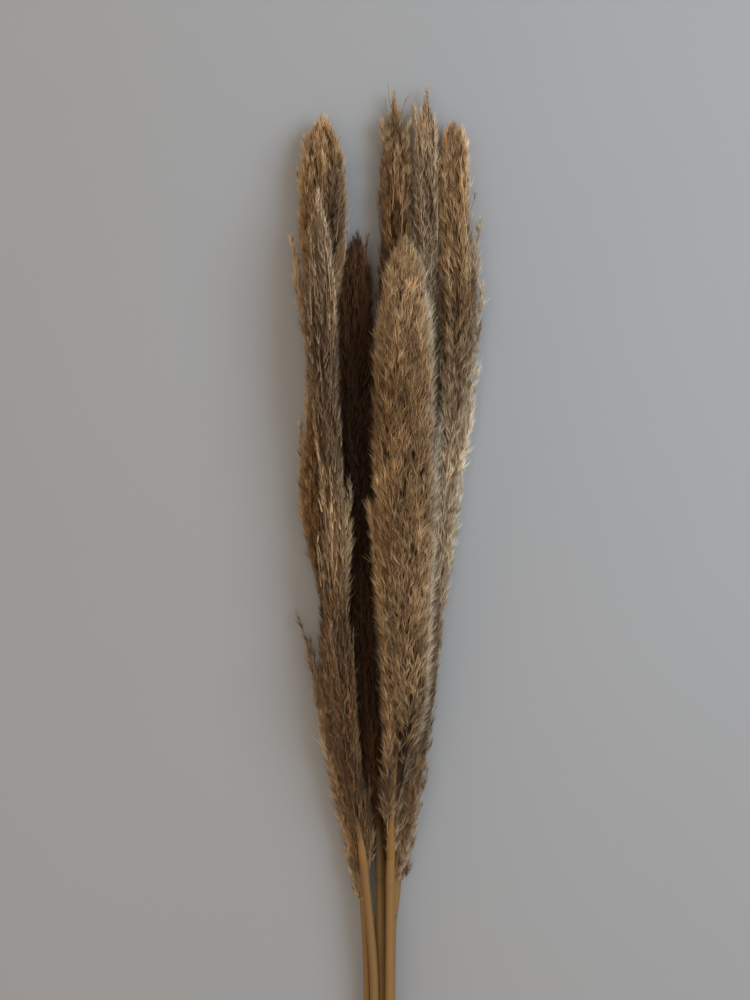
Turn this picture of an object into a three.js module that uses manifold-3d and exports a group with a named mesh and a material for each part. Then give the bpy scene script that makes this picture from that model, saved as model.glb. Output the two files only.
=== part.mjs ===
// A cut and dried bundle of pampas grass lying down: seven canes, each with its own plume.
// Millimetres, +Z up, the floor at z = 0. The canes' cut ends point to -Y and the plumes to +Y.
import * as THREE from "three";
import Module from "manifold-3d";

const wasm = await Module();
wasm.setup();

// Driving dimensions.
const CUT_STATION = -540;
const CANE_CUT_RADIUS = 4.2;
const CANE_TOP_RADIUS = 3.5;
const CANE_SIDES = 10;
const NODE_SWELL = 0.25;
const RACHIS_RADIUS = 3.2;
const RACHIS_TIP_RADIUS = 0.8;
const PLUME_CLEARANCE = 0.7;
const CANE_CLEARANCE = 1.2;
const FLOOR_BITE = 0.9;
const CORE_SHARE = 0.64;
const TUFT_REACH = 1.12;
const TUFT_OVERHANG = 1.35;
const SPRAY_START = 0.35;
const SEAT_GAP = 0.3;
const FINEST_DETAIL = 0.1;

// Stations along the bundle at which every stalk's centre line is given, and those at which the
// plume's radius is given, which start at the plume's own base.
const STATIONS = [CUT_STATION, -450, -340, -233, -132, -60, 19, 103, 187, 271, 355, 439, 545];
const GIRTH_STATIONS = [-60, 19, 103, 187, 271, 355, 439, 545];

// One entry for each stalk: where it is cut, where its plume starts and ends, its upper node, its
// centre line, the plume's radius along it, and its crown: how long that is and how it closes.
const STALKS = [
  {
    name: "left_back", cut: -531, base: -153, tip: 515, node: -168, seed: 1979,
    columns: 12, rows: 35, twist: 0.4, cane: 0xa98553, plume: 0x9c7146,
    x: [-13.5, -13.5, -15.4, -15.5, -20.2, -31, -42, -46, -56, -53.6, -52.8, -53.2, -54.2],
    z: [3.9, 3.9, 8.9, 13.0, 12.0, 13.5, 14.5, 13.5, 14.5, 14, 14.5, 17.5, 14],
    girth: [11.5, 15, 13, 16.5, 15, 16, 21, 21],
    crown: { length: 80, blunt: 2.6, round: 0.7 },
    sprays: [
      { from: 105, to: 248, side: 176, out: 18.5, curve: 1, radius: 4 },
      { from: -35, to: 85, side: 182, out: 28, curve: 2, radius: 3.4 },
      { from: -75, to: 22, side: 165, out: 18.5, curve: 1, radius: 3.2 },
      { from: -120, to: -34, side: 180, out: 14.5, curve: 1, radius: 3 },
      { from: -150, to: -98, side: 180, out: 10, curve: 1, radius: 2.6 },
      { from: 300, to: 406, side: 178, out: 26.5, curve: 1, radius: 3.4 },
    ],
  },
  {
    name: "left_front", cut: -536, base: -122, tip: 449, node: -129, seed: 2076,
    columns: 10, rows: 33, twist: -0.3, cane: 0xb08e5c, plume: 0xc4a173,
    x: [-9, -9, -10.9, -9.8, -17.4, -26.5, -35, -42, -44.8, -50.5, -52.8, -56.8, -57.5],
    z: [11.9, 11.9, 16.0, 21.3, 24.5, 30.0, 36.0, 37.0, 40.0, 41.5, 43.5, 44, 40],
    girth: [9, 12, 12, 12.8, 12.8, 12.6, 12, 12],
    crown: { length: 80, blunt: 2.2, round: 0.85 },
    sprays: [
      { from: 90, to: 200, side: -5, out: 15, curve: 1, radius: 3.4 },
      { from: 250, to: 350, side: 165, out: 14, curve: 1, radius: 3.2 },
      { from: -20, to: 80, side: 120, out: 13, curve: 1, radius: 3 },
    ],
  },
  {
    name: "middle_back", cut: -528, base: -90, tip: 417, node: -134, seed: 2181,
    columns: 10, rows: 30, twist: 0.3, cane: 0x7d6a3f, plume: 0x755235,
    x: [0, 0, -2.7, -4.3, -5.2, -9.4, -15, -20.8, -22.8, -24.2, -25, -24.8, -24.8],
    z: [11.9, 11.9, 12.8, 14.4, 15.2, 14.4, 13.0, 13.5, 14.5, 15, 15, 13, 10],
    girth: [7.5, 12.5, 13.5, 15, 16, 15.8, 15.5, 15.5],
    crown: { length: 70, blunt: 2.6, round: 0.8 },
    sprays: [
      { from: 290, to: 390, side: 60, out: 13, curve: 1, radius: 3.2 },
      { from: -70, to: 30, side: 100, out: 12, curve: 1, radius: 2.8 },
    ],
  },
  {
    name: "right_back_near", cut: -540, base: -132, tip: 537, node: -170, seed: 2270,
    columns: 9, rows: 37, twist: -0.4, cane: 0x9c7b4c, plume: 0xa87d50,
    x: [-4.5, -4.5, -7.5, -9.0, -2.8, -0.2, 1.3, 2, 3.5, 6, 8, 8.8, 6.5],
    z: [3.9, 3.9, 5.3, 7.0, 6.8, 7.7, 10.0, 12, 13, 13.5, 14, 13, 10.5],
    girth: [8.5, 12.5, 14.5, 15, 14.8, 14.4, 14, 14],
    crown: { length: 90, blunt: 2.6, round: 1.3 },
    sprays: [
      { from: 400, to: 505, side: 165, out: 10.5, curve: 1, radius: 2.8 },
      { from: 410, to: 508, side: 20, out: 12, curve: 1, radius: 2.8 },
      { from: 280, to: 380, side: 165, out: 15, curve: 1, radius: 3 },
    ],
  },
  {
    name: "right_back_middle", cut: -534, base: -140, tip: 540, node: -167, seed: 2367,
    columns: 9, rows: 36, twist: 0.5, cane: 0xa5814f, plume: 0xb3977c,
    x: [4.5, 4.5, 1.3, -0.5, 9.8, 12.9, 17.8, 24.5, 29, 31, 32, 33.1, 34.9],
    z: [3.9, 3.9, 4.4, 6.7, 4.9, 6.4, 11.9, 12.5, 13, 13.5, 14, 13, 10.5],
    girth: [9, 12, 13.5, 14, 14, 13.6, 13.4, 13.4],
    crown: { length: 85, blunt: 3, round: 1.4 },
    sprays: [
      { from: 420, to: 516, side: 150, out: 11, curve: 1, radius: 2.8 },
      { from: -136, to: -76, side: 2, out: 13, curve: 1, radius: 2.8 },
    ],
  },
  {
    name: "front", cut: -525, base: -115, tip: 409, node: -139, seed: 2464,
    columns: 14, rows: 29, twist: 0.3, cane: 0xc09a5e, plume: 0xc2945a,
    x: [9, 9, 5.0, 2.9, 3.5, 8.0, 15.5, 16.4, 16.8, 16.2, 16.2, 16.6, 16.6],
    z: [11.9, 11.9, 17.5, 23.2, 25.5, 31.1, 38.0, 42, 45, 45.5, 45.5, 43, 41],
    girth: [8.5, 21, 25, 27.3, 26.8, 25, 24, 24],
    crown: { length: 90, blunt: 3, round: 0.62 },
    sprays: [
      { from: 60, to: 180, side: 175, out: 29.5, curve: 1, radius: 3.6 },
      { from: 230, to: 340, side: 60, out: 25, curve: 1, radius: 3.6 },
      { from: -90, to: 10, side: 140, out: 17, curve: 1, radius: 3 },
      { from: 120, to: 240, side: 5, out: 28, curve: 1, radius: 3.4 },
    ],
  },
  {
    name: "right_back", cut: -538, base: -139, tip: 508, node: -165, seed: 2561,
    columns: 11, rows: 33, twist: -0.3, cane: 0xad8955, plume: 0xb78b58,
    x: [13.5, 13.5, 8.5, 4.3, 7.0, 19.5, 31, 41, 50, 57.2, 60.8, 58.5, 57],
    z: [3.9, 3.9, 9.1, 14.0, 15.6, 16.0, 13.5, 13.5, 13, 13, 15, 13.5, 11.5],
    girth: [10.5, 12, 11.5, 11.5, 13, 16.4, 14, 13.6],
    crown: { length: 60, blunt: 4, round: 0.45 },
    sprays: [
      { from: 195, to: 298, side: 2, out: 19, curve: 1, radius: 2.8 },
      { from: 262, to: 368, side: 3, out: 21, curve: 1, radius: 3.2 },
      { from: 318, to: 422, side: 5, out: 20, curve: 1, radius: 3.2 },
      { from: 85, to: 200, side: 0, out: 13, curve: 1, radius: 3 },
      { from: -130, to: -44, side: 8, out: 12.5, curve: 1, radius: 3 },
    ],
  },
];

// A seeded draw between 0 and 1, so that every build gives the same bundle.
function makeDraw(seed) {
  let state = seed;
  return () => {
    state = (state + 0x6d2b79f5) | 0;
    let value = Math.imul(state ^ (state >>> 15), 1 | state);
    value = (value + Math.imul(value ^ (value >>> 7), 61 | value)) ^ value;
    return ((value ^ (value >>> 14)) >>> 0) / 4294967296;
  };
}

// A smooth line through given points that never swings past them.
function follow(stations, values, y) {
  const last = stations.length - 1;
  const at = Math.min(Math.max(y, stations[0]), stations[last]);
  const slope = [];
  for (let i = 0; i < last; i++) {
    slope.push((values[i + 1] - values[i]) / (stations[i + 1] - stations[i]));
  }
  let i = 0;
  while (i < last - 1 && stations[i + 1] < at) i++;
  const tangent = (k) => {
    if (k === 0) return slope[0];
    if (k === last) return slope[last - 1];
    if (slope[k - 1] * slope[k] <= 0) return 0;
    const before = stations[k] - stations[k - 1];
    const after = stations[k + 1] - stations[k];
    const w1 = 2 * after + before;
    const w2 = after + 2 * before;
    return (w1 + w2) / (w1 / slope[k - 1] + w2 / slope[k]);
  };
  const span = stations[i + 1] - stations[i];
  const t = (at - stations[i]) / span;
  const s = 1 - t;
  return (1 + 2 * t) * s * s * values[i] + t * s * s * span * tangent(i)
    + t * t * (3 - 2 * t) * values[i + 1] - t * t * s * span * tangent(i + 1);
}

function centre(stalk, y) {
  return [follow(STATIONS, stalk.x, y), follow(STATIONS, stalk.z, y)];
}

// How far along its plume a station lies, from 0 at the base to 1 at the tip.
function along(stalk, y) {
  return Math.min(Math.max((y - stalk.base) / (stalk.tip - stalk.base), 0), 1);
}

// Radius of the firm middle: the cane, and above it the rachis that the plume grows on.
function firmRadius(stalk, y) {
  if (y < stalk.base) {
    const t = (y - CUT_STATION) / (stalk.base - CUT_STATION);
    return CANE_CUT_RADIUS + (CANE_TOP_RADIUS - CANE_CUT_RADIUS) * t;
  }
  return RACHIS_RADIUS + (RACHIS_TIP_RADIUS - RACHIS_RADIUS) * along(stalk, y);
}

// Radius of the plume's outline: its girth fills out from its base, and its crown closes it.
function plumeRadius(stalk, y) {
  const { length, blunt, round } = stalk.crown;
  const girth = follow([stalk.base, ...GIRTH_STATIONS], [RACHIS_RADIUS, ...stalk.girth], y);
  const top = Math.min(Math.max((y - stalk.tip) / length + 1, 0), 1);
  return Math.max(firmRadius(stalk, y), girth * (1 - top ** blunt) ** round);
}

// Presses a point of one stalk away from a wall at the given distance from its centre line.
// Everything between the knee and the full reach is drawn in evenly, and nothing passes the wall.
function press(offset, normal, wall, reach) {
  const depth = offset[0] * normal[0] + offset[1] * normal[1];
  const knee = 0.4 * wall;
  if (depth <= knee) return offset;
  const drawnIn = reach > wall ? knee + (depth - knee) * (wall - knee) / (reach - knee) : depth;
  const back = depth - Math.min(drawnIn, wall);
  return [offset[0] - normal[0] * back, offset[1] - normal[1] * back];
}

// Keeps a point inside its own stalk's share of the bundle: plumes press against one another and
// against the floor where they meet, as soft heads do, and never cross.
function settle(stalk, x, y, z) {
  const [cx, cz] = centre(stalk, y);
  const own = plumeRadius(stalk, y);
  const reach = own * TUFT_REACH * 1.14;
  let offset = [x - cx, z - cz];
  for (const other of STALKS) {
    if (other === stalk || y > other.tip || y < other.cut) continue;
    const [ox, oz] = centre(other, y);
    const distance = Math.hypot(ox - cx, oz - cz);
    const theirs = y < other.base ? firmRadius(other, y) : plumeRadius(other, y);
    const clearance = y < other.base + 40 ? CANE_CLEARANCE : PLUME_CLEARANCE;
    const middle = (distance * distance + own * own - theirs * theirs) / (2 * distance);
    const nearest = firmRadius(stalk, y) + clearance / 2;
    const furthest = distance - firmRadius(other, y) - clearance;
    const wall = Math.min(Math.max(middle - clearance / 2, nearest), furthest);
    offset = press(offset, [(ox - cx) / distance, (oz - cz) / distance], wall, reach);
  }
  offset = press(offset, [0, -1], cz + FLOOR_BITE, reach);
  return [cx + offset[0], y, cz + offset[1]];
}

// A closed skin of overlapping pointed tufts on a slimmer core. Tufts stand in staggered rings,
// and each rises from its own foot, lies forward over the next ones and ends in a loose point.
function tuftedSkin(form) {
  const { start, end, columns, rows, twist, core, reach, place, draw } = form;
  const points = [];
  const faces = [];
  const pitch = (end - start) / rows;
  const put = (s, turn, radius) => points.push(place(s, turn * 2 * Math.PI, radius)) - 1;
  const ring = [];
  for (let k = 0; k <= rows; k++) {
    const s = start + pitch * k;
    const row = [];
    for (let i = 0; i < columns; i++) {
      const turn = (i + (k % 2) / 2) / columns + twist * (k / rows);
      const shift = (draw() - 0.5) * 0.3 * pitch;
      row.push(put(k === 0 ? s : s + shift, turn, core(s)));
    }
    ring.push(row);
  }
  const at = (k, i) => ring[k][(i + columns) % columns];
  for (let k = 0; k < rows; k++) {
    for (let i = 0; i < columns; i++) {
      const left = at(k + 1, k % 2 ? i : i - 1);
      const right = at(k + 1, k % 2 ? i + 1 : i);
      const foot = at(k, i);
      if (k === 0) faces.push([foot, right, at(0, i + 1)]);
      if (k === rows - 1) {
        faces.push([foot, left, right]);
        continue;
      }
      const top = at(k + 2, i);
      const length = 2 + TUFT_OVERHANG * (0.6 + 0.8 * draw());
      const s = Math.min(start + pitch * (k + length), end + 0.4 * pitch);
      const turn = (i + (k % 2) / 2 + (draw() - 0.5) * 0.34) / columns + twist * (k / rows);
      const tip = put(s, turn, reach(s) * (0.84 + 0.3 * draw()));
      faces.push([foot, left, tip], [foot, tip, right], [left, top, tip], [right, tip, top]);
    }
  }
  const bottom = put(start, 0, 0);
  const apex = put(end + 0.7 * pitch, 0, 0);
  for (let i = 0; i < columns; i++) {
    faces.push([bottom, at(0, i), at(0, i + 1)], [apex, at(rows, i + 1), at(rows, i)]);
  }
  return solidFrom(points, faces);
}

function solidFrom(points, faces) {
  return new wasm.Manifold(new wasm.Mesh({
    numProp: 3,
    vertProperties: Float32Array.from(points.flat()),
    triVerts: Uint32Array.from(faces.flat()),
  }));
}

// The plume's main body, round the stalk's own centre line.
function plumeBody(stalk, draw) {
  const start = stalk.base + SEAT_GAP;
  const end = stalk.tip - 12;
  const outline = (s) => plumeRadius(stalk, Math.min(s, stalk.tip - 4));
  return tuftedSkin({
    start,
    end,
    columns: stalk.columns,
    rows: stalk.rows,
    twist: stalk.twist,
    core: (s) => Math.max(outline(s) * CORE_SHARE, Math.min(firmRadius(stalk, s) + 0.4, outline(s) * 0.8)),
    reach: (s) => outline(s) * TUFT_REACH,
    place: (s, angle, radius) => {
      const [cx, cz] = centre(stalk, s);
      return settle(stalk, cx + radius * Math.cos(angle), s, cz + radius * Math.sin(angle));
    },
    draw,
  });
}

// A loose spray: a slim branch with its own small tufts that leaves the plume on one side.
function looseSpray(stalk, spray, draw) {
  const bearing = spray.side * Math.PI / 180;
  const size = (s) => {
    const t = (s - spray.from) / (spray.to - spray.from);
    return spray.radius * Math.max(0.25, Math.sin(Math.PI * (0.12 + 0.8 * Math.min(Math.max(t, 0), 1))));
  };
  return tuftedSkin({
    start: spray.from,
    end: spray.to,
    columns: 4,
    rows: 5,
    twist: 0.3,
    core: (s) => size(s) * 0.5,
    reach: (s) => size(s) * 1.1,
    place: (s, angle, radius) => {
      const t = Math.min((s - spray.from) / (spray.to - spray.from), 1);
      const lift = spray.out * (SPRAY_START + (1 - SPRAY_START) * t ** spray.curve);
      const [cx, cz] = centre(stalk, s);
      const x = cx + lift * Math.cos(bearing) + radius * Math.cos(angle);
      const z = cz + lift * Math.sin(bearing) + radius * Math.sin(angle);
      return settle(stalk, x, s, z);
    },
    draw,
  });
}

function meshOf(solid, name, colour, roughness) {
  const { vertProperties, triVerts } = solid.getMesh();
  const geometry = new THREE.BufferGeometry();
  geometry.setAttribute("position", new THREE.BufferAttribute(new Float32Array(vertProperties), 3));
  geometry.setIndex(new THREE.BufferAttribute(new Uint32Array(triVerts), 1));
  const material = new THREE.MeshStandardMaterial({ color: colour, roughness, metalness: 0 });
  const mesh = new THREE.Mesh(geometry, material);
  mesh.name = name;
  return mesh;
}

// The plume in one piece, its underside pressed flat on the floor where it touches down.
function plumeOf(stalk) {
  const draw = makeDraw(stalk.seed);
  let solid = plumeBody(stalk, draw);
  for (const spray of stalk.sprays) solid = solid.add(looseSpray(stalk, spray, draw));
  solid = solid.trimByPlane([0, 0, 1], 0).simplify(FINEST_DETAIL);
  const pieces = solid.decompose();
  pieces.sort((a, b) => b.volume() - a.volume());
  return meshOf(pieces[0], `plume_${stalk.name}`, stalk.plume, 0.9);
}

// The cane: a straight-cut tube of straw with a faint ring at each node, flat where it rests.
function caneOf(stalk, index) {
  const draw = makeDraw(5407 + 31 * index);
  const nodes = [-480 + 40 * draw(), -330 + 40 * draw(), stalk.node];
  const rings = [[stalk.cut, 0], [-505, 0]];
  for (const node of nodes) {
    rings.push([node - 4, 0], [node, NODE_SWELL], [node + 4, 0]);
  }
  rings.push([-395, 0], [-260, 0], [-215, 0], [-185, 0], [stalk.base, 0]);
  rings.sort((a, b) => a[0] - b[0]);
  const points = [];
  const faces = [];
  rings.forEach(([y, swell], k) => {
    const [cx, cz] = centre(stalk, y);
    const radius = firmRadius(stalk, Math.min(y, stalk.base - 0.001)) + swell;
    for (let i = 0; i < CANE_SIDES; i++) {
      const angle = i / CANE_SIDES * 2 * Math.PI;
      points.push([cx + radius * Math.cos(angle), y, cz + radius * Math.sin(angle)]);
    }
    if (k === 0) return;
    for (let i = 0; i < CANE_SIDES; i++) {
      const a = (k - 1) * CANE_SIDES + i;
      const b = (k - 1) * CANE_SIDES + (i + 1) % CANE_SIDES;
      faces.push([a, a + CANE_SIDES, b], [b, a + CANE_SIDES, b + CANE_SIDES]);
    }
  });
  const last = (rings.length - 1) * CANE_SIDES;
  for (let i = 1; i < CANE_SIDES - 1; i++) {
    faces.push([0, i, i + 1], [last, last + i + 1, last + i]);
  }
  const solid = solidFrom(points, faces).trimByPlane([0, 0, 1], 0);
  return meshOf(solid, `cane_${stalk.name}`, stalk.cane, 0.6);
}

const bundle = new THREE.Group();
bundle.name = "pampas_grass_bundle";
STALKS.forEach((stalk, index) => {
  bundle.add(caneOf(stalk, index));
  bundle.add(plumeOf(stalk));
});

export default bundle;
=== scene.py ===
"""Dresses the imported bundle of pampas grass: seven straw canes, each with a plume of hairy
spikelets on thin branches, lying on a plain floor under soft light."""
import math

import bmesh
import bpy
import numpy as np
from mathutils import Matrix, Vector


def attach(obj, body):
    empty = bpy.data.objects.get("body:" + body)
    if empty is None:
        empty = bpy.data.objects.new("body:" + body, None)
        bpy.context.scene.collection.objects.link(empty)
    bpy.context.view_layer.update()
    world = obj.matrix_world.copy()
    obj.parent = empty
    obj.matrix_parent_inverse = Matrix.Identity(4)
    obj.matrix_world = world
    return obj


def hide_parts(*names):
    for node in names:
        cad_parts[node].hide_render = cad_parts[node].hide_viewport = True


bl_info = {
    "name": "Pampas Grass Bundle",
    "version": (1, 0, 0),
    "blender": (4, 5, 0),
    "location": "View3D > Sidebar > Pampas",
    "description": "Makes the canes and plumes of a dried bundle of pampas grass",
    "category": "Add Mesh",
}

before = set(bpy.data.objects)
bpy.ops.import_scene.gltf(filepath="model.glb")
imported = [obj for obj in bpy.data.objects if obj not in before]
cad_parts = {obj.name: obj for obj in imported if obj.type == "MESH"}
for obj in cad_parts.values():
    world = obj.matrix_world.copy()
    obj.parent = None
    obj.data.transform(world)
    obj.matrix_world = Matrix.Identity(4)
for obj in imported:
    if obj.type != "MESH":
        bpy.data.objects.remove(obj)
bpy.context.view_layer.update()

# The layout is the part's own, in millimetres, with the cut ends at -Y. Only the front stalk's line
# is shifted a little, and a few small sprays and threads are added.
CUT_STATION = -540
CANE_CUT_RADIUS = 4.2
CANE_TOP_RADIUS = 3.5
RACHIS_RADIUS = 3.2
RACHIS_TIP_RADIUS = 0.8
PLUME_CLEARANCE = 0.7
CANE_CLEARANCE = 1.2
FLOOR_BITE = 0.9
SPRAY_START = 0.35
STATIONS = (CUT_STATION, -450, -340, -233, -132, -60, 19, 103, 187, 271, 355, 439, 545)
GIRTH_STATIONS = (-60, 19, 103, 187, 271, 355, 439, 545)
MM = 0.001

# How the finer plumes and canes are set. Lengths are in millimetres.
KNEE = 0.4
PRESSED_REACH = 0.98
FOOT_LENGTH = 40
CLOSING_START = 1.2
CLOSING_LENGTH = 60
CORE_SHARE = 0.64
CORE_DEPTH = 3.5
STRAND_STEPS = 9
PROUD_SHARE = 0.16
TWIGS = 4
TUFT_KINDS = 5
# Painted shade: how deep below the outline hairs are painted darkest, and how high and how far a painted
# shadow reaches under another plume.
SHADED_DEPTH = 6.0
SHADOW_HEIGHT = 14
SHADOW_REACH = 6
FLOOR_BAND = 2.0
FLOOR_SQUASH = 1.75
NODE_RISE = 0.3
NODE_LENGTH = 1.8
SHEATH_RISE = 0.22
SHEATH_LENGTH = 55
NEVER = -1000
FIRST_SEED = 4211
SEED_STEP = 17

# Steps that spread points evenly, by turns, along a line and over a surface.
GOLDEN_ANGLE = 2.39996
GOLDEN_SHARE = 0.618034
EVEN_STEPS = (0.7548776662, 0.5698402910)

# Straw in deep shade, and the camera's view, in metres: its middle, the length it holds, and at
# which height.
DARK_STRAW = (0.085, 0.058, 0.021)
VIEW_CENTRE = (-0.0093, 0.1872)
VIEW_LENGTH = 0.84
VIEW_HEIGHT = 0.03
SENSOR = 36


class Stalk:
    """One cane with its plume: where it is cut, where the plume starts and ends, its nodes, its
    crown, its centre line and radius, as in the part, and the look of its branches and tufts."""

    def __init__(self, name, cut, base, tip, nodes, crown, x, z, girth, sprays, strays=(), **look):
        self.name, self.cut, self.base, self.tip, self.nodes = name, cut, base, tip, nodes
        self.crown_length, self.blunt, self.round = crown
        self.x, self.z, self.girth = x, z, girth
        self.sprays, self.strays, self.look = sprays, strays, look

    def centre(self, y):
        return np.stack([follow(STATIONS, self.x, y), follow(STATIONS, self.z, y)], axis=-1)

    def points(self, y, offset):
        """Points in space, from stations along the stalk and offsets from its centre line."""
        centre = self.centre(y)
        return np.stack([centre[..., 0] + offset[..., 0], y, centre[..., 1] + offset[..., 1]], axis=-1)

    def along(self, y):
        return np.clip((y - self.base) / (self.tip - self.base), 0, 1)

    def firm_radius(self, y):
        cane = (y - CUT_STATION) / (self.base - CUT_STATION)
        below = CANE_CUT_RADIUS + (CANE_TOP_RADIUS - CANE_CUT_RADIUS) * cane
        above = RACHIS_RADIUS + (RACHIS_TIP_RADIUS - RACHIS_RADIUS) * self.along(y)
        return np.where(y < self.base, below, above)

    def plume_radius(self, y):
        girth = follow((self.base, *GIRTH_STATIONS), (RACHIS_RADIUS, *self.girth), y)
        top = np.clip((y - self.tip) / self.crown_length + 1, 0, 1)
        return np.maximum(self.firm_radius(y), girth * (1 - top**self.blunt) ** self.round)


def follow(stations, values, y):
    """A smooth line through given points that never swings past them."""
    stations, values, y = (np.asarray(given, float) for given in (stations, values, y))
    span = np.diff(stations)
    slope = np.diff(values) / span
    tangent = np.zeros(len(values))
    tangent[[0, -1]] = slope[[0, -1]]
    for k in range(1, len(values) - 1):
        if slope[k - 1] * slope[k] > 0:
            w1 = 2 * span[k] + span[k - 1]
            w2 = span[k] + 2 * span[k - 1]
            tangent[k] = (w1 + w2) / (w1 / slope[k - 1] + w2 / slope[k])
    i = np.clip(np.searchsorted(stations, y) - 1, 0, len(span) - 1)
    t = np.clip((y - stations[i]) / span[i], 0, 1)
    s = 1 - t
    return (
        (1 + 2 * t) * s * s * values[i]
        + t * s * s * span[i] * tangent[i]
        + t * t * (3 - 2 * t) * values[i + 1]
        - t * t * s * span[i] * tangent[i + 1]
    )
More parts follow.
